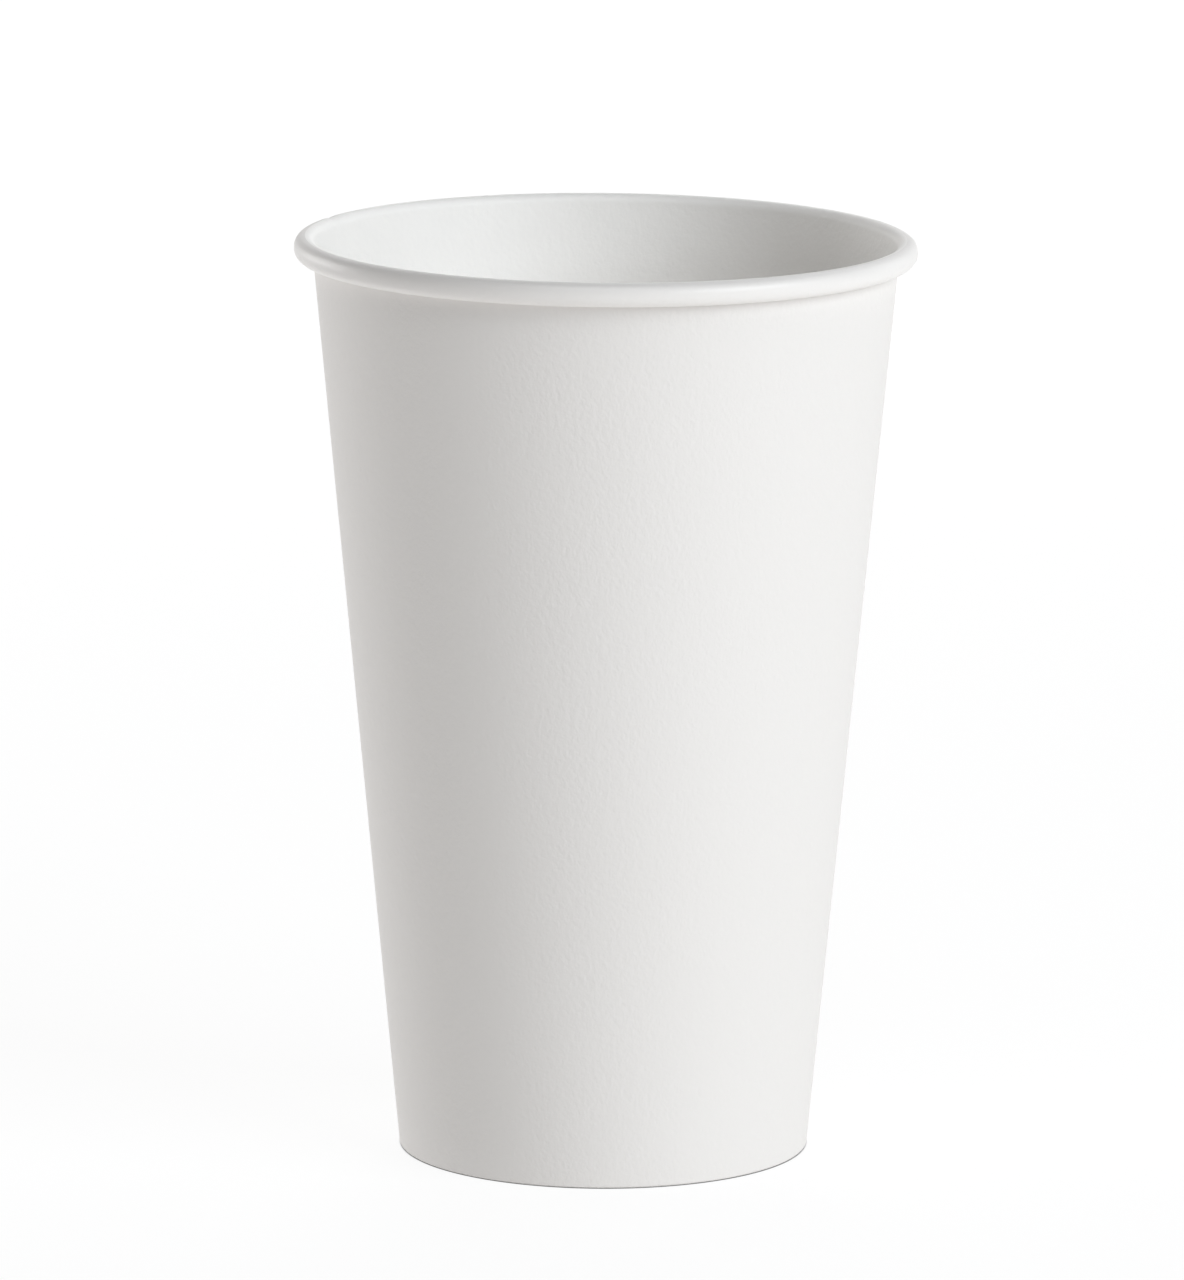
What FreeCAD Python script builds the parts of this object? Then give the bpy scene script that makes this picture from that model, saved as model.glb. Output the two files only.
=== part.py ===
import FreeCAD, Part

import math
import os

import Sketcher

# Single-wall paper hot cup, standing upright and empty, without a lid.
#
# Two pieces of coated paperboard:
#   sidewall      a fan-shaped blank wrapped into a cone and lapped over itself at its left side,
#                 rolled outward at the top into the rim, folded inward at the bottom into the foot
#   bottom_disc   a round panel whose skirt is held between the sidewall and its fold
#
# Frame: millimetres, +Z up, origin at the centre of the foot's seat, front towards -Y.

Vector = FreeCAD.Vector

# Driving sizes: alias, value, what it measures.
SIZES = [
    ("cup_height", 134.2, "seat of the foot to the crown of the rim"),
    ("rim_diameter", 90.0, "outside of the rolled rim, the size that a lid presses over"),
    ("rim_overhang", 2.45, "rim's outside beyond the wall's outer face carried up to the crown"),
    ("crown_radius", 1.4, "inner shoulder of the rim, where the board turns outward"),
    ("rim_flat", 0.3, "straight band between the rim's outer shoulder and its underside"),
    ("curl_gap", 0.05, "air between neighbouring layers of board inside the rolled rim"),
    ("base_diameter", 59.6, "outside of the wall carried down to the seat"),
    ("board", 0.4, "paperboard of the sidewall"),
    ("foot_corner", 0.45, "outer radius of each bend under the foot"),
    ("disc_board", 0.35, "paperboard of the bottom disc"),
    ("recess_depth", 7.0, "seat of the foot up to the underside of the bottom panel"),
    ("fold_margin", 1.3, "fold's cut edge below the underside of the bottom panel"),
    ("disc_corner", 1.1, "outer bend from the bottom panel into its skirt"),
    ("skirt_clearance", 0.3, "skirt's cut edge above the inside of the fold"),
    ("lap_width", 7.0, "width of the side seam, from one cut edge to the other"),
    ("lap_settle", 4.2, "length over which the outer lap settles back beside the inner one"),
    ("seam_turn", 69.0, "inner cut edge of the seam, degrees from the back towards -X"),
]
SIZE = {alias: value for alias, value, note in SIZES}

# Planes that sketches lie on, and how a sketch names its own origin point.
BACK_PLANE = "XZ_Plane"
FLOOR_PLANE = "XY_Plane"
ORIGIN_POINT = (-1, 1)

# Values worked out from the driving sizes, as text for the sheet's expressions.
BASE_RADIUS = "sizes.base_diameter / 2"
TOP_RADIUS = "(sizes.rim_diameter / 2 - sizes.rim_overhang)"

# A seam strip's root lies this many boards below its crest, inside the sheet that it joins or cuts.
ROOT_BOARDS = 1.5

# The same values as numbers, which only place the first guess of each sketch.
base_radius = SIZE["base_diameter"] / 2
top_radius = SIZE["rim_diameter"] / 2 - SIZE["rim_overhang"]
lean = math.atan((top_radius - base_radius) / SIZE["cup_height"])

document = FreeCAD.newDocument("paper_cup")


def fill_sheet():
    """Writes each driving size into the sheet as a plain number with its alias."""
    sheet = document.addObject("Spreadsheet::Sheet", "sizes")
    for row, (alias, value, note) in enumerate(SIZES, start=1):
        sheet.set("A%d" % row, alias)
        sheet.set("B%d" % row, str(value))
        sheet.set("C%d" % row, note)
        sheet.setAlias("B%d" % row, alias)
    document.recompute()


def new_body(name):
    """A body whose label is the piece's name, standing at the cup's origin."""
    body = document.addObject("PartDesign::Body", name)
    body.Label = name
    body.Placement = FreeCAD.Placement(Vector(0, 0, 0), FreeCAD.Rotation())
    return body


def new_sketch(body, name, role):
    """A sketch on the body's own origin plane with that role."""
    sketch = body.newObject("Sketcher::SketchObject", name)
    plane = next(item for item in body.Origin.OriginFeatures if item.Role == role)
    sketch.AttachmentSupport = [(plane, "")]
    sketch.MapMode = "FlatFace"
    return sketch


def wall_radius(height, inward=0.0):
    """Radius of the wall at a height, measured inward from its outer face across the board."""
    slope = (top_radius - base_radius) / SIZE["cup_height"]
    return base_radius + slope * height - inward / math.cos(lean)


def wall_radius_text(height):
    """Expression for the radius of the wall's outer face at a height."""
    return f"{BASE_RADIUS} + ({TOP_RADIUS} - {BASE_RADIUS}) * ({height}) / sizes.cup_height"


# A run is one edge of a sketch: its index, then the ends where the outline enters and leaves it.


def add_line(sketch, start, end):
    """Straight run from start to end."""
    segment = Part.LineSegment(Vector(*start, 0), Vector(*end, 0))
    return (sketch.addGeometry(segment, False), 1, 2)


def add_arc(sketch, centre, radius, first, last):
    """Arc from one direction to another, in radians; falling angles run clockwise."""
    circle = Part.Circle(Vector(*centre, 0), Vector(0, 0, 1), radius)
    if last > first:
        return (sketch.addGeometry(Part.ArcOfCircle(circle, first, last), False), 1, 2)
    return (sketch.addGeometry(Part.ArcOfCircle(circle, last, first), False), 2, 1)


def constrain(sketch, kind, *places):
    """Geometric constraint, such as Parallel or Horizontal."""
    return sketch.addConstraint(Sketcher.Constraint(kind, *places))


def smooth(sketch, *runs):
    """Each run leaves tangent into the next."""
    for one, other in zip(runs, runs[1:]):
        constrain(sketch, "Tangent", one[0], one[2], other[0], other[1])


def corner(sketch, *runs):
    """Each run ends where the next begins."""
    for one, other in zip(runs, runs[1:]):
        constrain(sketch, "Coincident", one[0], one[2], other[0], other[1])


def on_seat(sketch, run, end):
    """A run's end lies at the seat's height: a sketch's own horizontal axis is geometry -1."""
    constrain(sketch, "PointOnObject", run[0], end, -1)


def on_upright(sketch, run, end):
    """A run's end lies on the sketch's own vertical axis, its geometry -2."""
    constrain(sketch, "PointOnObject", run[0], end, -2)


def centred(sketch, one, other):
    """The two arcs share their centre."""
    constrain(sketch, "Coincident", one[0], 3, other[0], 3)


def measure(sketch, name, expression, kind, *places):
    """Named dimension of a sketch, bound to the sheet."""
    guess = document.sizes.evalExpression(expression)
    guess = getattr(guess, "Value", guess)
    index = sketch.addConstraint(Sketcher.Constraint(kind, *places, float(guess)))
    sketch.renameConstraint(index, name)
    sketch.setExpression("Constraints." + name, expression)


def height_of(sketch, name, expression, run, end):
    """Height of a run's end above the seat."""
    measure(sketch, name, expression, "DistanceY", *ORIGIN_POINT, run[0], end)


def radius_of(sketch, name, expression, run, end):
    """Distance of a run's end from the cup's axis."""
    measure(sketch, name, expression, "DistanceX", *ORIGIN_POINT, run[0], end)


def add_wall_line(sketch):
    """Construction line along the wall's outer face, from the seat to the crown."""
    start = (base_radius, 0.0)
    end = (top_radius, SIZE["cup_height"])
    wall = add_line(sketch, start, end)
    sketch.toggleConstruction(wall[0])
    on_seat(sketch, wall, 1)
    radius_of(sketch, "wall_base", BASE_RADIUS, wall, 1)
    radius_of(sketch, "wall_top", TOP_RADIUS, wall, 2)
    height_of(sketch, "wall_height", "sizes.cup_height", wall, 2)
    return wall


def draw_sheet(sketch):
    """Outline of the sidewall's board, cut by a plane through the axis.

    The lining is the face inside the cup: it runs down the fold's back, across the foot, up
    the wall and round the outside of the rolled rim. The back is the other face of the board.
    """
    board = SIZE["board"]
    skirt_side = board + SIZE["disc_board"]
    recess_side = skirt_side + board
    fold_top = SIZE["recess_depth"] - SIZE["fold_margin"]
    across = Vector(math.cos(lean), -math.sin(lean), 0)

    crown = SIZE["crown_radius"]
    crown_height = SIZE["cup_height"] - crown
    crown_axis = wall_radius(crown_height + crown * math.sin(lean), board) + crown * math.cos(lean)
    outer = SIZE["rim_diameter"] / 2 - crown_axis
    upper_height = SIZE["cup_height"] - outer
    lower_height = upper_height - SIZE["rim_flat"]
    under_height = lower_height - outer
    room = (crown_axis - wall_radius(under_height)) * math.cos(lean) - SIZE["curl_gap"]
    under = room / (1 + math.sin(lean))
    tuck = crown - board - SIZE["curl_gap"]
    to_wall = math.pi - lean
    up, out, down = math.pi / 2, 0.0, -math.pi / 2

    def roll(deep):
        """Rolled rim of one face, as runs; deep is how far the face lies inside the roll."""
        shoulder = add_arc(sketch, (crown_axis, crown_height), crown - deep, to_wall, up)
        brow = add_arc(sketch, (crown_axis, upper_height), outer - deep, up, out)
        edge = crown_axis + outer - deep
        band = add_line(sketch, (edge, upper_height), (edge, lower_height))
        belly = add_arc(sketch, (crown_axis, lower_height), outer - deep, out, down)
        hook_centre = (crown_axis, under_height + under)
        hook = add_arc(sketch, hook_centre, under - deep, down, to_wall - 2 * math.pi)
        rise_from = Vector(*hook_centre, 0) - across * (under - deep)
        rise_to = Vector(crown_axis, crown_height, 0) - across * (tuck - deep)
        rise = add_line(sketch, (rise_from.x, rise_from.y), (rise_to.x, rise_to.y))
        nest = add_arc(sketch, (crown_axis, crown_height), tuck - deep, to_wall, up)
        return [shoulder, brow, band, belly, hook, rise, nest]

    wall = add_wall_line(sketch)

    # Lining: fold, foot and wall, then the outside of the roll.
    fold = add_line(sketch, (wall_radius(fold_top, skirt_side), fold_top),
                    (wall_radius(board, skirt_side), board))
    floor = add_line(sketch, (wall_radius(board, skirt_side), board),
                     (wall_radius(board, board), board))
    shoulder_start = Vector(crown_axis, crown_height, 0) - across * crown
    inside = add_line(sketch, (wall_radius(board, board), board),
                      (shoulder_start.x, shoulder_start.y))
    lining = roll(0.0)
    shoulder, brow, band, belly, hook, rise, nest = lining
    corner(sketch, fold, floor, inside)
    smooth(sketch, inside, *lining)

    # Back: the same turns one board away, with a rounded bend at each side of the foot.
    bend = SIZE["foot_corner"]
    inner_bend_axis = wall_radius(bend, recess_side) + bend / math.cos(lean)
    outer_bend_axis = wall_radius(bend, bend)
    fold_back_top = Vector(wall_radius(fold_top, skirt_side), fold_top, 0) - across * board
    fold_back_low = Vector(inner_bend_axis, bend, 0) - across * bend
    outside_low = Vector(outer_bend_axis, bend, 0) + across * bend
    outside_high = Vector(crown_axis, crown_height, 0) - across * (crown - board)
    fold_back = add_line(sketch, (fold_back_top.x, fold_back_top.y),
                         (fold_back_low.x, fold_back_low.y))
    inner_bend = add_arc(sketch, (inner_bend_axis, bend), bend, to_wall, 2 * math.pi + down)
    seat = add_line(sketch, (inner_bend_axis, 0.0), (outer_bend_axis, 0.0))
    outer_bend = add_arc(sketch, (outer_bend_axis, bend), bend, down, -lean)
    outside = add_line(sketch, (outside_low.x, outside_low.y), (outside_high.x, outside_high.y))
    back = roll(board)
    smooth(sketch, fold_back, inner_bend, seat, outer_bend, outside, *back)

    # Cut edges of the blank: at the top of the fold and inside the roll.
    fold_cut = add_line(sketch, (fold_back_top.x, fold_back_top.y),
                        (wall_radius(fold_top, skirt_side), fold_top))
    roll_cut = add_line(sketch, (crown_axis, crown_height + tuck),
                        (crown_axis, crown_height + tuck - board))
    constrain(sketch, "Coincident", fold_cut[0], 1, fold_back[0], fold_back[1])
    constrain(sketch, "Coincident", fold_cut[0], 2, fold[0], fold[1])
    constrain(sketch, "Coincident", roll_cut[0], 1, nest[0], nest[2])
    constrain(sketch, "Coincident", roll_cut[0], 2, back[-1][0], back[-1][2])

    # The wall leans as the construction line does, and the layers of the foot lie against it.
    constrain(sketch, "PointOnObject", outside[0], 1, wall[0])
    constrain(sketch, "PointOnObject", outside[0], 2, wall[0])
    constrain(sketch, "Parallel", inside[0], wall[0])
    measure(sketch, "wall_board", "sizes.board", "Distance", inside[0], 1, wall[0])
    constrain(sketch, "Parallel", fold[0], wall[0])
    measure(sketch, "skirt_slot", "sizes.disc_board", "Distance", fold[0], 1, inside[0])
    constrain(sketch, "Parallel", fold_back[0], fold[0])
    constrain(sketch, "Perpendicular", fold_cut[0], fold[0])
    measure(sketch, "fold_board", "sizes.board", "Distance", fold_back[0], 1, fold[0])
    height_of(sketch, "fold_top", "sizes.recess_depth - sizes.fold_margin", fold, fold[1])

    # The foot stands on a narrow flat ring.
    on_seat(sketch, seat, 1)
    constrain(sketch, "Horizontal", seat[0])
    constrain(sketch, "Horizontal", floor[0])
    height_of(sketch, "foot_board", "sizes.board", floor, floor[1])
    for name, run in (("inner_bend", inner_bend), ("outer_bend", outer_bend)):
        measure(sketch, name, "sizes.foot_corner", "Radius", run[0])

    # The roll: crown, equal outer turns with a band between them, hook, rise and nested end.
    for run, twin in zip(lining, back):
        if run is band or run is rise:
            continue
        centred(sketch, run, twin)
    measure(sketch, "crown_radius", "sizes.crown_radius", "Radius", shoulder[0])
    height_of(sketch, "crown_height", "sizes.cup_height", shoulder, shoulder[2])
    constrain(sketch, "Vertical", shoulder[0], 3, shoulder[0], shoulder[2])
    radius_of(sketch, "rim_radius", "sizes.rim_diameter / 2", band, band[1])
    for run in (band, back[2]):
        constrain(sketch, "Vertical", run[0])
    measure(sketch, "rim_flat", "sizes.rim_flat", "DistanceY", band[0], band[2], band[0], band[1])
    constrain(sketch, "Equal", brow[0], belly[0])
    constrain(sketch, "Vertical", belly[0], 3, belly[0], belly[2])
    centred(sketch, nest, shoulder)
    constrain(sketch, "Vertical", nest[0], 3, nest[0], nest[2])
    constrain(sketch, "Vertical", roll_cut[0])
    constrain(sketch, "Parallel", rise[0], wall[0])
    measure(sketch, "curl_gap", "sizes.curl_gap", "Distance", rise[0], rise[1], wall[0])
    constrain(sketch, "Parallel", back[5][0], rise[0])


def draw_lap(sketch, height, rise, plateau):
    """Cross-section of one side of the seam at a height, with the inner cut edge on +Y.

    The crest lies one board further out than the root face of the layer, times rise; plateau
    says whether the section has the lap's full width beside its settling slope.
    """
    crest = wall_radius(height[1]) + rise[1]
    root = crest - ROOT_BOARDS * SIZE["board"]
    crest_text = wall_radius_text(height[0]) + " + " + rise[0]
    sketch.setExpression(".AttachmentOffset.Base.z", height[0])
    slope_angle = SIZE["lap_settle"] / crest
    slope = add_line(sketch, (root * math.sin(slope_angle), root * math.cos(slope_angle)),
                     (0.0, crest))
    if plateau:
        lap_angle = math.pi / 2 + SIZE["lap_width"] / crest
        top = add_arc(sketch, (0, 0), crest, math.pi / 2, lap_angle)
        constrain(sketch, "Coincident", top[0], 3, *ORIGIN_POINT)
        measure(sketch, "crest", crest_text, "Radius", top[0])
        measure(sketch, "lap_width", "sizes.lap_width", "Distance", top[0], 1, top[0], 2)
    else:
        lap_angle = math.pi / 2
        top = None
    far = Vector(math.cos(lap_angle), math.sin(lap_angle), 0)
    cut = add_line(sketch, (far.x * crest, far.y * crest), (far.x * root, far.y * root))
    under = add_arc(sketch, (0, 0), root, lap_angle, math.pi / 2 - slope_angle)
    constrain(sketch, "Coincident", under[0], 3, *ORIGIN_POINT)
    measure(sketch, "root", f"{crest_text} - {ROOT_BOARDS} * sizes.board", "Radius", under[0])
    on_upright(sketch, slope, 2)
    measure(sketch, "lap_settle", "sizes.lap_settle", "Distance", slope[0])
    if plateau:
        corner(sketch, slope, top, cut, under)
        constrain(sketch, "PointOnObject", *ORIGIN_POINT, cut[0])
    else:
        corner(sketch, slope, cut, under)
        constrain(sketch, "Vertical", cut[0])
        height_of(sketch, "crest", crest_text, cut, cut[1])
    constrain(sketch, "Coincident", under[0], under[2], slope[0], slope[1])


def add_seam(body, name, kind, heights, rise, plateau):
    """Ruled strip up the seam between two cross-sections."""
    sections = []
    for place, height in zip(("low", "high"), heights):
        sketch = new_sketch(body, f"{name}_{place}", FLOOR_PLANE)
        turn = FreeCAD.Rotation(Vector(0, 0, 1), SIZE["seam_turn"])
        sketch.AttachmentOffset = FreeCAD.Placement(Vector(0, 0, height[1]), turn)
        sketch.setExpression(".AttachmentOffset.Rotation.Angle", "sizes.seam_turn")
        draw_lap(sketch, height, rise, plateau)
        sections.append(sketch)
    document.recompute()
    strip = body.newObject(kind, name)
    strip.Profile = (sections[0], [""])
    strip.Sections = [(sections[1], [""])]
    strip.Ruled = True
    document.recompute()


def make_sidewall():
    """Cone of board with its rolled rim, folded foot and lapped side seam."""
    body = new_body("sidewall")
    sketch = new_sketch(body, "sheet_outline", BACK_PLANE)
    draw_sheet(sketch)
    document.recompute()
    turned = body.newObject("PartDesign::Revolution", "wrapped_sheet")
    turned.Profile = (sketch, [""])
    turned.ReferenceAxis = (sketch, ["V_Axis"])
    turned.Angle = 360.0
    document.recompute()

    # The outer lap lies one board proud of the wall, from the foot up into the roll.
    lap_low = ("sizes.foot_corner", SIZE["foot_corner"])
    lap_high = ("sizes.cup_height - sizes.crown_radius / 2",
                SIZE["cup_height"] - SIZE["crown_radius"] / 2)
    proud = ("sizes.board", SIZE["board"])
    add_seam(body, "outer_lap", "PartDesign::AdditiveLoft", (lap_low, lap_high), proud, True)

    # Inside, the inner lap's cut edge leaves a step that closes where the outer lap settles.
    step_low = ("sizes.recess_depth + sizes.disc_board",
                SIZE["recess_depth"] + SIZE["disc_board"])
    step_high = ("sizes.cup_height + sizes.board", SIZE["cup_height"] + SIZE["board"])
    level = ("0 * sizes.board", 0.0)
    add_seam(body, "inner_step", "PartDesign::SubtractiveLoft", (step_low, step_high), level, False)
    return body


def draw_disc(sketch):
    """Outline of the bottom disc's board from the axis out to the skirt's cut edge."""
    board = SIZE["board"]
    thick = SIZE["disc_board"]
    under_height = SIZE["recess_depth"]
    top_height = under_height + thick
    bend = SIZE["disc_corner"]
    skirt_low = board + SIZE["skirt_clearance"]
    across = Vector(math.cos(lean), -math.sin(lean), 0)
    bend_height = top_height - bend
    bend_axis = wall_radius(bend_height, board + bend)
    outer_start = Vector(bend_axis, bend_height, 0) + across * bend
    inner_start = Vector(bend_axis, bend_height, 0) + across * (bend - thick)
    outer_end = Vector(wall_radius(skirt_low, board), skirt_low, 0)
    inner_end = outer_end - across * thick

    wall = add_wall_line(sketch)
    top = add_line(sketch, (0.0, top_height), (bend_axis, top_height))
    outer_bend = add_arc(sketch, (bend_axis, bend_height), bend, math.pi / 2, -lean)
    outer_skirt = add_line(sketch, (outer_start.x, outer_start.y), (outer_end.x, outer_end.y))
    cut = add_line(sketch, (outer_end.x, outer_end.y), (inner_end.x, inner_end.y))
    inner_skirt = add_line(sketch, (inner_end.x, inner_end.y), (inner_start.x, inner_start.y))
    inner_bend = add_arc(sketch, (bend_axis, bend_height), bend - thick, -lean, math.pi / 2)
    under = add_line(sketch, (bend_axis, under_height), (0.0, under_height))
    axis = add_line(sketch, (0.0, under_height), (0.0, top_height))
    smooth(sketch, top, outer_bend, outer_skirt)
    corner(sketch, outer_skirt, cut, inner_skirt)
    smooth(sketch, inner_skirt, inner_bend, under)
    corner(sketch, under, axis, top)
    centred(sketch, outer_bend, inner_bend)
    for run in (top, under):
        constrain(sketch, "Horizontal", run[0])
    on_upright(sketch, top, top[1])
    on_upright(sketch, under, under[2])
    height_of(sketch, "recess_depth", "sizes.recess_depth", under, under[2])
    measure(sketch, "panel_board", "sizes.disc_board", "DistanceY",
            under[0], under[2], top[0], top[1])
    measure(sketch, "disc_corner", "sizes.disc_corner", "Radius", outer_bend[0])
    constrain(sketch, "Parallel", outer_skirt[0], wall[0])
    measure(sketch, "wall_board", "sizes.board", "Distance", outer_skirt[0], 1, wall[0])
    constrain(sketch, "Parallel", inner_skirt[0], outer_skirt[0])
    constrain(sketch, "Perpendicular", cut[0], outer_skirt[0])
    height_of(sketch, "skirt_low", "sizes.board + sizes.skirt_clearance",
              outer_skirt, outer_skirt[2])


def make_bottom_disc():
    """Round panel with a turned-down skirt that lies between the wall and its fold."""
    body = new_body("bottom_disc")
    sketch = new_sketch(body, "disc_outline", BACK_PLANE)
    draw_disc(sketch)
    document.recompute()
    turned = body.newObject("PartDesign::Revolution", "pressed_disc")
    turned.Profile = (sketch, [""])
    turned.ReferenceAxis = (sketch, ["V_Axis"])
    turned.Angle = 360.0
    document.recompute()
    return body


def check_document(pieces):
    """Stops on a failed feature, a loose sketch or a shape that is not one valid solid."""
    for item in document.Objects:
        if "Invalid" in item.State or "Error" in item.State:
            raise RuntimeError(f"{item.Name} failed to build: {item.State}")
        if item.TypeId == "Sketcher::SketchObject" and not item.FullyConstrained:
            raise RuntimeError(f"{item.Name} is not fully constrained")
    for piece in pieces:
        shape = piece.Shape
        if shape.isNull() or not shape.isValid():
            raise RuntimeError(f"{piece.Label} has no valid shape")
        if len(shape.Solids) != 1:
            raise RuntimeError(f"{piece.Label} has {len(shape.Solids)} solids, not one")


def main():
    fill_sheet()
    pieces = [make_sidewall(), make_bottom_disc()]
    check_document(pieces)
    os.makedirs("parts", exist_ok=True)
    for piece in pieces:
        piece.Shape.exportStep(os.path.join("parts", piece.Label + ".step"))
        print(f"{piece.Label}: volume {piece.Shape.Volume:.1f} mm3")


main()
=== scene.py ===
import math

import bmesh
import bpy
import numpy as np
from mathutils import Matrix, Vector


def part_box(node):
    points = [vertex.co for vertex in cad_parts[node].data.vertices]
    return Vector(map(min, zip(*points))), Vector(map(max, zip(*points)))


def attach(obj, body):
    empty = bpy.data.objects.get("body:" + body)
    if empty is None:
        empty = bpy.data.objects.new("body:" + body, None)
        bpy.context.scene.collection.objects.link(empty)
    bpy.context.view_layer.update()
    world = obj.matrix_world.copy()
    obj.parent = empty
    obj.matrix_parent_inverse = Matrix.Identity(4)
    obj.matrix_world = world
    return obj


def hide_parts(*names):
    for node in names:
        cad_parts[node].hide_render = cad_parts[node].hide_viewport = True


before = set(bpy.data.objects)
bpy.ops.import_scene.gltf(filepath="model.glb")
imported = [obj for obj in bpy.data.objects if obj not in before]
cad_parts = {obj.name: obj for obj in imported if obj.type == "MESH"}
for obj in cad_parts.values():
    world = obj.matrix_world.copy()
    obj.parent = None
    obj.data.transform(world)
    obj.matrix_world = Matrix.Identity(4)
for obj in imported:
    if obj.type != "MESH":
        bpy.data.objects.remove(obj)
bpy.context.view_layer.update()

# A plain white paper hot cup, standing empty on a pale studio floor.
#
# sidewall     a wrapped blank of paperboard with a rolled rim, a lapped seam and a folded foot
# bottom_disc  the pressed panel that the foot holds
#
# The two meshes stand where the solids of the same names are. Sizes of the cup are in
# millimetres, those of the studio are in metres, and everything reaches Blender in metres.

MM = 0.001

# Sizes that the solids give.
wall_low, wall_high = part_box("sidewall")
disc_low, disc_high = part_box("bottom_disc")
CUP_HEIGHT = wall_high.z / MM
RIM_RADIUS = (wall_high.x - wall_low.x) / 2 / MM
DISC_TOP = disc_high.z / MM
SKIRT_LOW = disc_low.z / MM

# Paperboard, and the shapes that the cup-making tools press into it.
RIM_OVERHANG = 2.45
BASE_RADIUS = 29.8
BOARD = 0.4
DISC_BOARD = 0.35
CROWN_RADIUS = 1.4
RIM_FLAT = 0.3
CURL_GAP = 0.05
FOOT_CORNER = 0.45
FOLD_MARGIN = 1.3
DISC_CORNER = 1.1

TOP_RADIUS = RIM_RADIUS - RIM_OVERHANG
SLOPE = (TOP_RADIUS - BASE_RADIUS) / CUP_HEIGHT
LEAN = math.atan(SLOPE)
FOLD_TOP = DISC_TOP - DISC_BOARD - FOLD_MARGIN

# Side seam: width of the lap, length of the slope on which the outer lap settles beside the
# inner one, and the inner cut edge's place in degrees from the back towards -X.
LAP_WIDTH = 7.0
LAP_SETTLE = 4.2
SEAM_TURN = 69.0

# The two laps are pressed to one board's thickness in the foot and in the roll. The press
# lets go over the first stretch of height and takes hold again over the second. The inner lap
# regains its own thickness over a stretch that is given in widths of the lap.
FOOT_PRESS = (1.0, 6.0)
ROLL_PRESS = (125.0, 131.0)
INNER_LAP_FADE = (0.9, 1.3)

# The rim's plane leans a little: its left side stands higher than its right.
RIM_TILT = math.radians(0.37)

# Fine ribs pressed into the inside of the foot, and the heights over which they rise and end.
RIB_COUNT = 100
RIB_DEPTH = 0.07
RIB_START = (0.9, 1.5)
RIB_END = (4.4, 5.2)

# The panel is slightly dished, and its board gathers into shallow pleats before the shoulder,
# over the distances from the axis that the last two lines give.
DISH_DEPTH = 0.25
DISH_RADIUS = 24.0
PLEAT_COUNT = 44
PLEAT_HEIGHT = 0.035
PLEAT_START = (24.5, 27.6)
PLEAT_END = (28.2, 29.0)

# Steps of the sidewall's mesh, along the board's section and round the cup.
FOLD_STEPS = 7
BEND_STEPS = 4
WALL_STEPS = 26
ROLL_STEPS = 9
HOOK_STEPS = 6
NEST_STEPS = 4
FOLD_POINTS = FOLD_STEPS + BEND_STEPS + 1
LAP_COLUMNS = 12
WALL_COLUMNS = 560
SETTLE_COLUMNS = 14

# Steps of the disc's mesh.
PANEL_STEPS = 18
SHOULDER_STEPS = 8
SKIRT_STEPS = 4
DISC_COLUMNS = 360

# Edges that turn by more than this stay sharp.
SHARP_ANGLE = math.radians(33.0)

# What a face shows of the board, as the index of its material.
OUTSIDE, LINING, CUT, ROLL = 0, 1, 2, 3


def wall_radius(height, inward=0.0):
    """Radius of the wall at a height, measured inward from its outer face across the board."""
    return BASE_RADIUS + SLOPE * height - inward / math.cos(LEAN)


def smooth_step(low, high, value):
    """0 below low, 1 above high, and a soft curve between them."""
    share = np.clip((np.asarray(value, float) - low) / (high - low), 0.0, 1.0)
    return share * share * (3 - 2 * share)


class SheetPath:
    """Section of the board's lining face, with the direction across the board at each point."""

    def __init__(self):
        self.points = []
        self.across = []

    def straight(self, start, end, across, steps):
        """Straight stretch from start towards end; the last point is left to the next stretch."""
        for share in np.linspace(0.0, 1.0, steps, endpoint=False):
            self.points.append(np.array(start) * (1 - share) + np.array(end) * share)
            self.across.append(np.array(across))

    def turn(self, centre, radius, first, last, outward, steps):
        """Arc about centre; outward says that the board's back faces away from the centre."""
        for angle in np.linspace(first, last, steps, endpoint=False):
            direction = np.array([math.cos(angle), math.sin(angle)])
            self.points.append(np.array(centre) + radius * direction)
            self.across.append(direction if outward else -direction)

    def end(self, point, across):
        """Last point of the section."""
        self.points.append(np.array(point))
        self.across.append(np.array(across))


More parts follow.
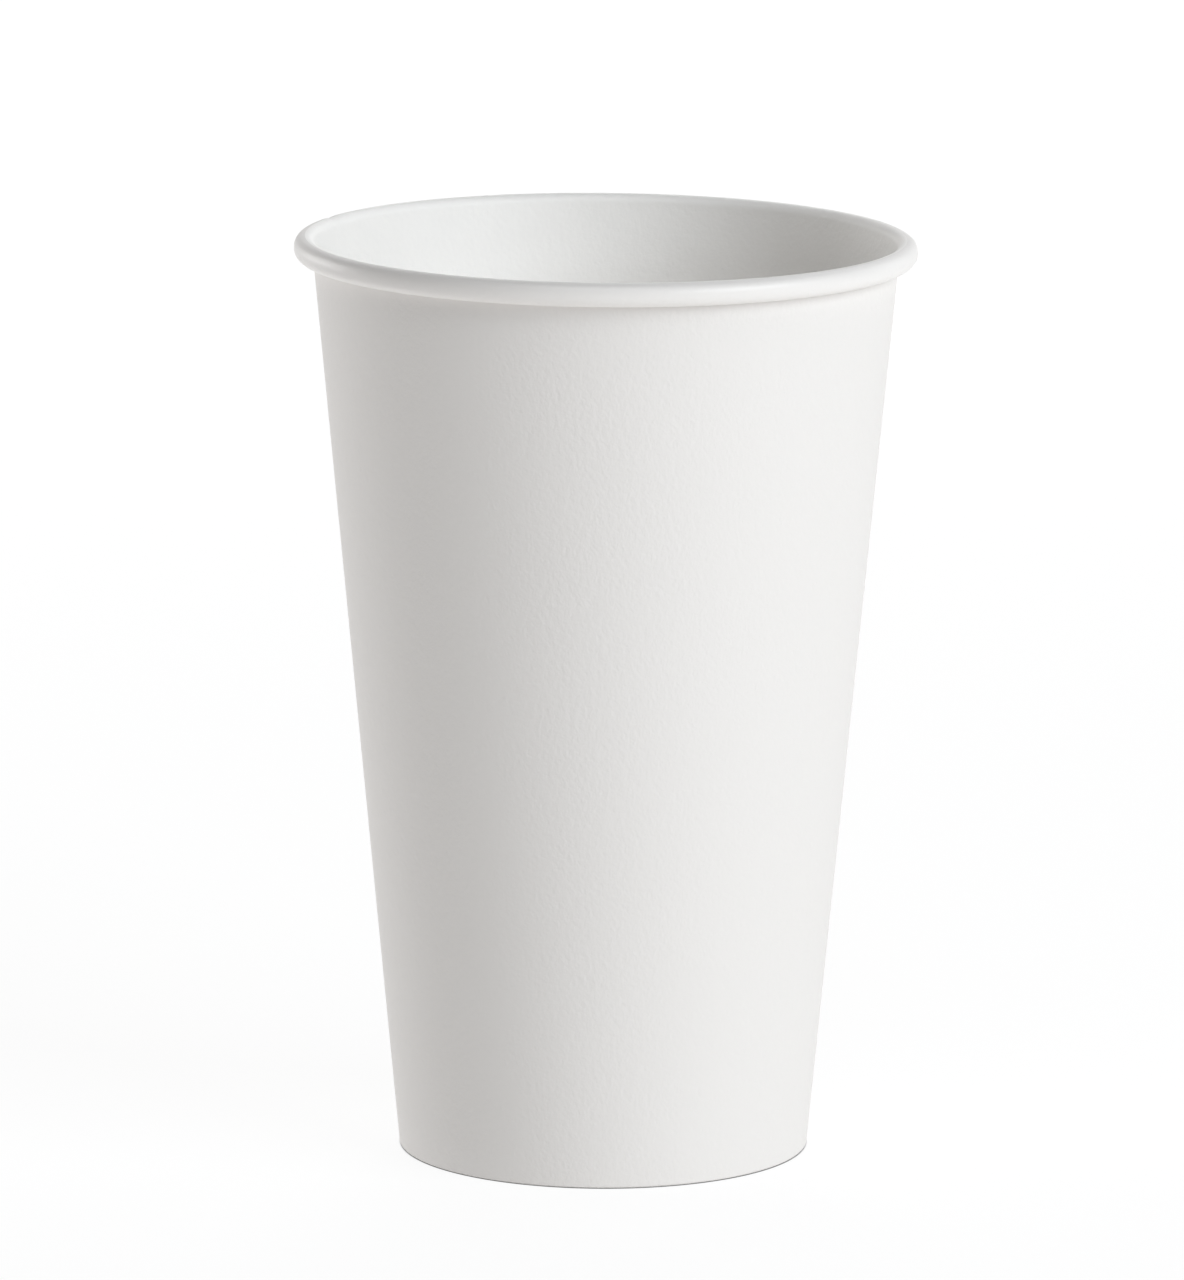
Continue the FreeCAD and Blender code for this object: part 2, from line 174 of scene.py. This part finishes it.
def sidewall_path():
    """Lining of the sidewall: down the fold, across the foot, up the wall, round the roll."""
    across = np.array([math.cos(LEAN), -math.sin(LEAN)])
    to_wall = math.pi - LEAN
    skirt_side = BOARD + DISC_BOARD
    recess_side = skirt_side + BOARD

    # Foot: an inner and an outer bend, with the crease of the lining inside each of them.
    inner_bend = np.array([wall_radius(FOOT_CORNER, recess_side)
                           + FOOT_CORNER / math.cos(LEAN), FOOT_CORNER])
    outer_bend = np.array([wall_radius(FOOT_CORNER, FOOT_CORNER), FOOT_CORNER])
    crease = FOOT_CORNER - BOARD
    fold_top = np.array([wall_radius(FOLD_TOP, skirt_side), FOLD_TOP])

    # Roll: the crown, two equal outer turns, the hook against the wall and the nested end.
    crown_height = CUP_HEIGHT - CROWN_RADIUS
    crown_axis = (wall_radius(crown_height + CROWN_RADIUS * math.sin(LEAN), BOARD)
                  + CROWN_RADIUS * math.cos(LEAN))
    crown = np.array([crown_axis, crown_height])
    outer = RIM_RADIUS - crown_axis
    upper = np.array([crown_axis, CUP_HEIGHT - outer])
    lower = upper - [0.0, RIM_FLAT]
    room = (crown_axis - wall_radius(lower[1] - outer)) * math.cos(LEAN) - CURL_GAP
    hook_radius = room / (1 + math.sin(LEAN))
    hook = np.array([crown_axis, lower[1] - outer + hook_radius])
    tuck = CROWN_RADIUS - BOARD - CURL_GAP

    path = SheetPath()
    path.straight(fold_top, inner_bend - across * crease, -across, FOLD_STEPS)
    path.turn(inner_bend, crease, to_wall, 1.5 * math.pi, True, BEND_STEPS)
    path.straight(inner_bend - [0, crease], outer_bend - [0, crease], (0.0, -1.0), 1)
    path.turn(outer_bend, crease, 1.5 * math.pi, 2 * math.pi - LEAN, True, BEND_STEPS)
    path.straight(outer_bend + across * crease, crown - across * CROWN_RADIUS, across, WALL_STEPS)
    path.turn(crown, CROWN_RADIUS, to_wall, math.pi / 2, False, ROLL_STEPS)
    path.turn(upper, outer, math.pi / 2, 0.0, False, ROLL_STEPS)
    path.straight(upper + [outer, 0], lower + [outer, 0], (-1.0, 0.0), 1)
    path.turn(lower, outer, 0.0, -math.pi / 2, False, ROLL_STEPS)
    path.turn(hook, hook_radius, -math.pi / 2, to_wall - 2 * math.pi, False, HOOK_STEPS)
    path.straight(hook - across * hook_radius, crown - across * tuck, across, 1)
    path.turn(crown, tuck, to_wall, math.pi / 2, False, NEST_STEPS)
    path.end(crown + [0, tuck], (0.0, -1.0))
    return np.array(path.points), np.array(path.across)


def board_mesh(name, vertices, faces, sides):
    """Mesh whose faces take their material from what they show of the board."""
    mesh = bpy.data.meshes.new(name)
    mesh.from_pydata(vertices, [], faces)
    for surface in (outer_face, lined_face_painted_light, cut_edge, rolled_face_painted_shade):
        mesh.materials.append(surface)
    mesh.polygons.foreach_set("material_index", sides)
    mesh.update()
    return mesh


def grid_mesh(name, columns, roll_start):
    """Mesh of a closed tube of quads: columns[c][k] is a ring of points; ends are capped.

    Each ring holds the lining from first to last, then the back from last to first.
    The lining turns over into the bead of the rim at point roll_start.
    """
    count, ring = columns.shape[:2]
    half = ring // 2
    vertices = columns.reshape(-1, 3)
    faces = []
    sides = []
    for c in range(count - 1):
        for k in range(ring):
            n = (k + 1) % ring
            faces.append((c * ring + k, (c + 1) * ring + k, (c + 1) * ring + n, c * ring + n))
            if k == half - 1 or k == ring - 1:
                sides.append(CUT)
            elif k >= half:
                sides.append(OUTSIDE)
            else:
                sides.append(ROLL if k >= roll_start else LINING)
    for c in (0, count - 1):
        base = c * ring
        for k in range(half - 1):
            faces.append((base + k, base + k + 1, base + ring - 2 - k, base + ring - 1 - k))
            sides.append(CUT)
    return board_mesh(name, vertices.tolist(), faces, sides)


def finish_mesh(mesh, name):
    """Object with outward normals and smooth shading between its sharp edges."""
    work = bmesh.new()
    work.from_mesh(mesh)
    bmesh.ops.recalc_face_normals(work, faces=work.faces)
    work.to_mesh(mesh)
    work.free()
    mesh.shade_smooth()
    mesh.set_sharp_from_angle(angle=SHARP_ANGLE)
    piece = bpy.data.objects.new(name, mesh)
    bpy.context.scene.collection.objects.link(piece)
    return piece


def rim_lean_share(height):
    """How far the rim's lean reaches down: all of it at the rim, none at the seat."""
    return np.clip(height / CUP_HEIGHT, 0.0, 1.0) ** 2


def make_sidewall():
    """The wrapped blank, from the inner cut edge of its seam round to the outer one."""
    points, across = sidewall_path()
    radius = points[:, 0]
    height = points[:, 1]

    # Columns: under the lap, round the cup, up the settling slope, over the lap.
    lap = LAP_WIDTH / radius
    settle = LAP_SETTLE / radius
    turn = 2 * math.pi
    under = np.linspace(0, 1, LAP_COLUMNS, endpoint=False)[:, None] * lap
    around = lap + np.linspace(0, 1, WALL_COLUMNS, endpoint=False)[:, None] * (turn - lap - settle)
    slope = turn - settle + np.linspace(0, 1, SETTLE_COLUMNS, endpoint=False)[:, None] * settle
    over = turn + np.linspace(0, 1, LAP_COLUMNS)[:, None] * lap
    travel = np.vstack([under, around, slope, over])
    azimuth = math.pi / 2 + math.radians(SEAM_TURN) + travel

    # Two boards lie over each other on the wall, and are pressed into one in roll and foot.
    in_fold = np.arange(len(points)) < FOLD_POINTS
    pressed = np.maximum(1 - smooth_step(*FOOT_PRESS, height), smooth_step(*ROLL_PRESS, height))
    pressed = np.where(in_fold, 1.0, pressed)
    rise = smooth_step(0.0, 1.0, (travel - (turn - settle)) / settle)
    lapped = np.maximum(rise, 1 - smooth_step(*INNER_LAP_FADE, travel / lap))
    offset = rise * BOARD * (1 - 0.5 * pressed)
    thickness = BOARD * (1 - 0.5 * pressed * lapped)

    lining_r = radius + across[:, 0] * offset
    lining_z = height + across[:, 1] * offset
    back_r = radius + across[:, 0] * (offset + thickness)
    back_z = height + across[:, 1] * (offset + thickness)

    # Pressed ribs on the fold's face that looks into the recess.
    ribs = 0.5 + 0.5 * np.cos(azimuth * RIB_COUNT)
    band = smooth_step(*RIB_START, height) * (1 - smooth_step(*RIB_END, height))
    back_r = back_r + np.where(in_fold, RIB_DEPTH * ribs * band, 0.0)

    ring_r = np.hstack([lining_r, back_r[:, ::-1]])
    ring_z = np.hstack([lining_z, back_z[:, ::-1]])
    ring_a = np.hstack([azimuth, azimuth[:, ::-1]])
    x = ring_r * np.cos(ring_a)
    y = ring_r * np.sin(ring_a)
    z = ring_z - rim_lean_share(ring_z) * (x + RIM_RADIUS) * math.tan(RIM_TILT)
    columns = np.stack([x, y, z], axis=2) * MM
    crown_top = int(np.argmax(height))
    return finish_mesh(grid_mesh("sidewall_board", columns, crown_top), "cup_sidewall")


def disc_path():
    """Upper face of the disc: out over the panel, round the shoulder and down the skirt."""
    across = np.array([math.cos(LEAN), -math.sin(LEAN)])
    bend_height = DISC_TOP - DISC_CORNER
    bend = np.array([wall_radius(bend_height, BOARD + DISC_CORNER), bend_height])
    skirt_end = np.array([wall_radius(SKIRT_LOW, BOARD), SKIRT_LOW])
    path = SheetPath()
    path.straight((0.0, DISC_TOP), bend + [0, DISC_CORNER], (0.0, -1.0), PANEL_STEPS)
    path.turn(bend, DISC_CORNER, math.pi / 2, -LEAN, False, SHOULDER_STEPS)
    path.straight(bend + across * DISC_CORNER, skirt_end, -across, SKIRT_STEPS)
    path.end(skirt_end, -across)
    return np.array(path.points), np.array(path.across)


def make_bottom_disc():
    """Pressed panel with a rounded shoulder and a skirt held in the foot."""
    points, normal = disc_path()
    # The point on the axis is left out: one vertex stands there for all columns.
    points = points[1:]
    normal = normal[1:]
    azimuth = np.linspace(0, 2 * math.pi, DISC_COLUMNS, endpoint=False)[:, None]
    reach = points[:, 0]
    dish = -DISH_DEPTH * (1 - smooth_step(0.0, DISH_RADIUS, reach))
    pleat = (PLEAT_HEIGHT * np.cos(azimuth * PLEAT_COUNT) * smooth_step(*PLEAT_START, reach)
             * (1 - smooth_step(*PLEAT_END, reach)))
    lift = dish + pleat
    rows = []
    for depth in (0.0, DISC_BOARD):
        r = (points[:, 0] + normal[:, 0] * depth) * np.ones_like(azimuth)
        z = points[:, 1] + normal[:, 1] * depth + lift
        rows.append(np.stack([r * np.cos(azimuth), r * np.sin(azimuth), z], axis=2))
    ring = np.concatenate([rows[0], rows[1][:, ::-1]], axis=1) * MM
    per = ring.shape[1]
    half = per // 2
    vertices = ring.reshape(-1, 3).tolist()
    centre_top = len(vertices)
    centre_under = centre_top + 1
    vertices.append((0.0, 0.0, (DISC_TOP + dish[0]) * MM))
    vertices.append((0.0, 0.0, (DISC_TOP + dish[0] - DISC_BOARD) * MM))
    faces = []
    sides = []
    for c in range(DISC_COLUMNS):
        d = (c + 1) % DISC_COLUMNS
        for k in range(per - 1):
            faces.append((c * per + k, d * per + k, d * per + k + 1, c * per + k + 1))
            sides.append(CUT if k == half - 1 else (LINING if k < half else OUTSIDE))
        faces.append((c * per, centre_top, d * per))
        sides.append(LINING)
        faces.append((d * per + per - 1, centre_under, c * per + per - 1))
        sides.append(OUTSIDE)
    return finish_mesh(board_mesh("disc_board", vertices, faces, sides), "cup_bottom_disc")


def linear(hex_colour):
    """Linear red, green, blue and alpha from an sRGB hex colour."""
    channels = []
    for start in (1, 3, 5):
        value = int(hex_colour[start:start + 2], 16) / 255
        channels.append(value / 12.92 if value <= 0.04045 else ((value + 0.055) / 1.055) ** 2.4)
    return (*channels, 1.0)


def add_node(tree, kind, settings=None, inputs=None, links=None):
    """One shader node with its settings, its socket values and the outputs that feed it."""
    node = tree.nodes.new(kind)
    for key, value in (settings or {}).items():
        setattr(node, key, value)
    for socket, value in (inputs or {}).items():
        node.inputs[socket].default_value = value
    for socket, output in (links or {}).items():
        tree.links.new(output, node.inputs[socket])
    return node


# Relief of the board: soft clouds of pulp about 0.8 mm across, and felt marks of a quarter of
# a millimetre that stand 0.3 as high. Both are drawn out a little up the cup, with the grain.
CLOUDS_PER_MM = 1.3
FELT_MARKS_PER_MM = 4.0
FELT_HEIGHT = 0.3
GRAIN_RUN = 0.85

# Refraction of the clay coating and of the polyethylene film.
COATING_IOR = 1.45


def paperboard(name, hex_colour, roughness, tooth):
    """One face of white cup board; tooth is how high its relief stands, in mm."""
    material = bpy.data.materials.new(name)
    material.use_nodes = True
    tree = material.node_tree
    tree.nodes.clear()
    place = add_node(tree, "ShaderNodeTexCoord")
    grain = add_node(tree, "ShaderNodeMapping", None,
                     {"Scale": (1 / MM, 1 / MM, GRAIN_RUN / MM)},
                     {"Vector": place.outputs["Object"]})
    cloud = add_node(tree, "ShaderNodeTexNoise", None,
                     {"Scale": CLOUDS_PER_MM, "Detail": 1.5, "Roughness": 0.55},
                     {"Vector": grain.outputs["Vector"]})
    felt = add_node(tree, "ShaderNodeTexNoise", None,
                    {"Scale": FELT_MARKS_PER_MM, "Detail": 2.0, "Roughness": 0.6},
                    {"Vector": grain.outputs["Vector"]})
    relief = add_node(tree, "ShaderNodeMath", {"operation": "MULTIPLY_ADD"}, {1: FELT_HEIGHT},
                      {0: felt.outputs["Fac"], 2: cloud.outputs["Fac"]})
    bump = add_node(tree, "ShaderNodeBump", None, {"Strength": 1.0, "Distance": tooth * MM},
                    {"Height": relief.outputs["Value"]})
    shader = add_node(tree, "ShaderNodeBsdfPrincipled", None,
                      {"Base Color": linear(hex_colour), "Roughness": roughness,
                       "IOR": COATING_IOR},
                      {"Normal": bump.outputs["Normal"]})
    add_node(tree, "ShaderNodeOutputMaterial", None, None, {"Surface": shader.outputs["BSDF"]})
    return material


# Studio: a lit table that sweeps up behind the cup.
TABLE_COLOUR = "#616161"
TABLE_ROUGHNESS = 0.9
TABLE_SHEEN = 0.2
TABLE_GLOW = 0.875
SWEEP_FRONT = -2.2
SWEEP_BACK = 1.6
SWEEP_BEND = 0.7
SWEEP_STEPS = 24
SWEEP_TOP = 2.6
SWEEP_HALF_WIDTH = 3.0

# Painted contact shadow: the table's glow comes up from nothing under the foot to its full
# strength beside it, from this far inside the wall to this far outside it, in millimetres.
PAINTED_SHADOW_INSIDE = 0.3
PAINTED_SHADOW_OUTSIDE = 0.2


def lit_opal_table():
    """Opal acrylic sheet lit from below: an even white ground that keeps shadows pale.

    Its glow is faded out by distance from the axis under the foot: a painted contact shadow, a
    thin dark line where the cup stands.
    """
    material = bpy.data.materials.new("lit_opal_acrylic_painted_shadow")
    material.use_nodes = True
    tree = material.node_tree
    shader = tree.nodes["Principled BSDF"]
    shader.inputs["Base Color"].default_value = linear(TABLE_COLOUR)
    shader.inputs["Roughness"].default_value = TABLE_ROUGHNESS
    shader.inputs["Specular IOR Level"].default_value = TABLE_SHEEN
    shader.inputs["Emission Color"].default_value = linear("#ffffff")
    place = add_node(tree, "ShaderNodeTexCoord")
    flat = add_node(tree, "ShaderNodeVectorMath", {"operation": "MULTIPLY"},
                    {1: (1.0, 1.0, 0.0)}, {0: place.outputs["Object"]})
    reach = add_node(tree, "ShaderNodeVectorMath", {"operation": "LENGTH"}, None,
                     {0: flat.outputs["Vector"]})
    # Painted contact shadow: the glow falls to nothing in a ring under the foot.
    painted_shadow_glow = add_node(tree, "ShaderNodeMapRange", {"interpolation_type": "SMOOTHSTEP"},
                    {"From Min": (BASE_RADIUS - PAINTED_SHADOW_INSIDE) * MM,
                     "From Max": (BASE_RADIUS + PAINTED_SHADOW_OUTSIDE) * MM,
                     "To Min": 0.0, "To Max": TABLE_GLOW},
                    {"Value": reach.outputs["Value"]})
    tree.links.new(painted_shadow_glow.outputs["Result"], shader.inputs["Emission Strength"])
    return material


def make_sweep():
    """Floor that curves up into the background."""
    profile = [(SWEEP_FRONT, 0.0)]
    for step in range(SWEEP_STEPS + 1):
        angle = -math.pi / 2 + math.pi / 2 * step / SWEEP_STEPS
        profile.append((SWEEP_BACK + SWEEP_BEND * math.cos(angle),
                        SWEEP_BEND + SWEEP_BEND * math.sin(angle)))
    profile.append((SWEEP_BACK + SWEEP_BEND, SWEEP_TOP))
    vertices = [(side * SWEEP_HALF_WIDTH, y, z) for y, z in profile for side in (-1, 1)]
    faces = [(2 * i, 2 * i + 1, 2 * i + 3, 2 * i + 2) for i in range(len(profile) - 1)]
    mesh = bpy.data.meshes.new("sweep")
    mesh.from_pydata(vertices, [], faces)
    mesh.shade_smooth()
    mesh.materials.append(lit_opal_table())
    sweep = bpy.data.objects.new("studio_sweep", mesh)
    bpy.context.scene.collection.objects.link(sweep)


# Lamps: name, azimuth from the camera's side towards the right, elevation, width, watts,
# colour, and whether reflections show it. The key stands on the right, and a low lamp behind
# on the left lights the edge of the shaded side. The back lamp lights the inside of the cup,
# back_right lights its right edge a little, and front_top fills the front from above.
LAMPS = (
    ("key", 53, 26, 1.1, 16.6, "#f6fbff", True),
    ("back_left", -124, 9, 0.8, 7.5, "#ffffff", True),
    ("back", 180, 22, 0.8, 6.0, "#ffffff", False),
    ("back_right", 130, 20, 0.8, 1.5, "#ffffff", True),
    ("front_top", -8, 60, 0.8, 5.0, "#ffffff", True),
)
LAMP_DISTANCE = 1.5
LAMP_HEIGHT = 0.8
LAMP_TARGET = (0, 0, 0.07)


def aim_at(thing, target):
    """Turns an object's -Z towards a point."""
    direction = Vector(target) - thing.location
    thing.rotation_euler = direction.to_track_quat("-Z", "Y").to_euler()


def add_softbox(name, azimuth, elevation, width, watts, hex_colour, in_reflections):
    """Rectangular light that faces the cup."""
    data = bpy.data.lights.new(name, "AREA")
    data.color = linear(hex_colour)[:3]
    data.shape = "RECTANGLE"
    data.size = width
    data.size_y = LAMP_HEIGHT
    data.energy = watts
    lamp = bpy.data.objects.new(name, data)
    bpy.context.scene.collection.objects.link(lamp)
    a = math.radians(azimuth)
    e = math.radians(elevation)
    away = Vector((math.sin(a) * math.cos(e), -math.cos(a) * math.cos(e), math.sin(e)))
    lamp.location = Vector(LAMP_TARGET) + away * LAMP_DISTANCE
    lamp.visible_glossy = in_reflections
    aim_at(lamp, LAMP_TARGET)


def light_studio():
    """All the lamps, in a room that is dark otherwise."""
    for lamp in LAMPS:
        add_softbox(*lamp)
    world = bpy.data.worlds.new("studio")
    bpy.context.scene.world = world
    world.use_nodes = True
    world.node_tree.nodes["Background"].inputs["Strength"].default_value = 0.0


# Camera, as worked out from the outline of the cup in the photograph.
CAMERA_DISTANCE = 1.4989
CAMERA_ELEVATION = math.radians(10.82)
CAMERA_ROLL = math.radians(0.175)
CAMERA_AIM = (-1.84 * MM, 0.0, 74.67 * MM)
FOCAL_PIXELS = 10315
PHOTO_HEIGHT = 1280
SENSOR_WIDTH = 36.0


def add_camera():
    """Camera in front of the cup and a little above it, rolled about its own line of sight."""
    data = bpy.data.cameras.new("camera")
    data.sensor_width = SENSOR_WIDTH
    data.lens = FOCAL_PIXELS * SENSOR_WIDTH / PHOTO_HEIGHT
    data.clip_start = 0.05
    data.clip_end = 20.0
    camera = bpy.data.objects.new("camera", data)
    bpy.context.scene.collection.objects.link(camera)
    back = Vector((0.0, -math.cos(CAMERA_ELEVATION), math.sin(CAMERA_ELEVATION)))
    right = Vector((1.0, 0.0, 0.0))
    up = right.cross(-back)
    cos_roll, sin_roll = math.cos(CAMERA_ROLL), math.sin(CAMERA_ROLL)
    local_x = right * cos_roll + up * sin_roll
    local_y = up * cos_roll - right * sin_roll
    turn = Matrix((local_x, local_y, back)).transposed()
    place = Vector(CAMERA_AIM) + back * CAMERA_DISTANCE
    camera.matrix_world = Matrix.Translation(place) @ turn.to_4x4()
    bpy.context.scene.camera = camera


# Outside: clay-coated and dead matte, with the pulp's grain showing through.
outer_face = paperboard("clay_coated_cup_board", "#e7e4e1", 0.68, 0.08)
# Inside: under a film of extruded polyethylene, with a faint sheen. Its white is partly the film's
# own and partly painted light, whiter than real board, for light that comes through the wall.
lined_face_painted_light = paperboard("film_lined_cup_board_painted_light", "#fbf9f6", 0.52, 0.055)
# Bead of the rim: the same film as the inside, painted darker than the lining as painted shade on
# the bead.
rolled_face_painted_shade = paperboard("film_lined_rolled_board_painted_shade", "#eae7e4", 0.38, 0.045)
# Cut edges: raw pulp, rough and slightly creamy.
cut_edge = paperboard("die_cut_pulp", "#ece8de", 0.85, 0.08)

sidewall = make_sidewall()
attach(sidewall, "root")
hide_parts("sidewall")

bottom_disc = make_bottom_disc()
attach(bottom_disc, "root")
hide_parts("bottom_disc")

make_sweep()
light_studio()
add_camera()

scene = bpy.context.scene
scene.view_settings.view_transform = "Standard"
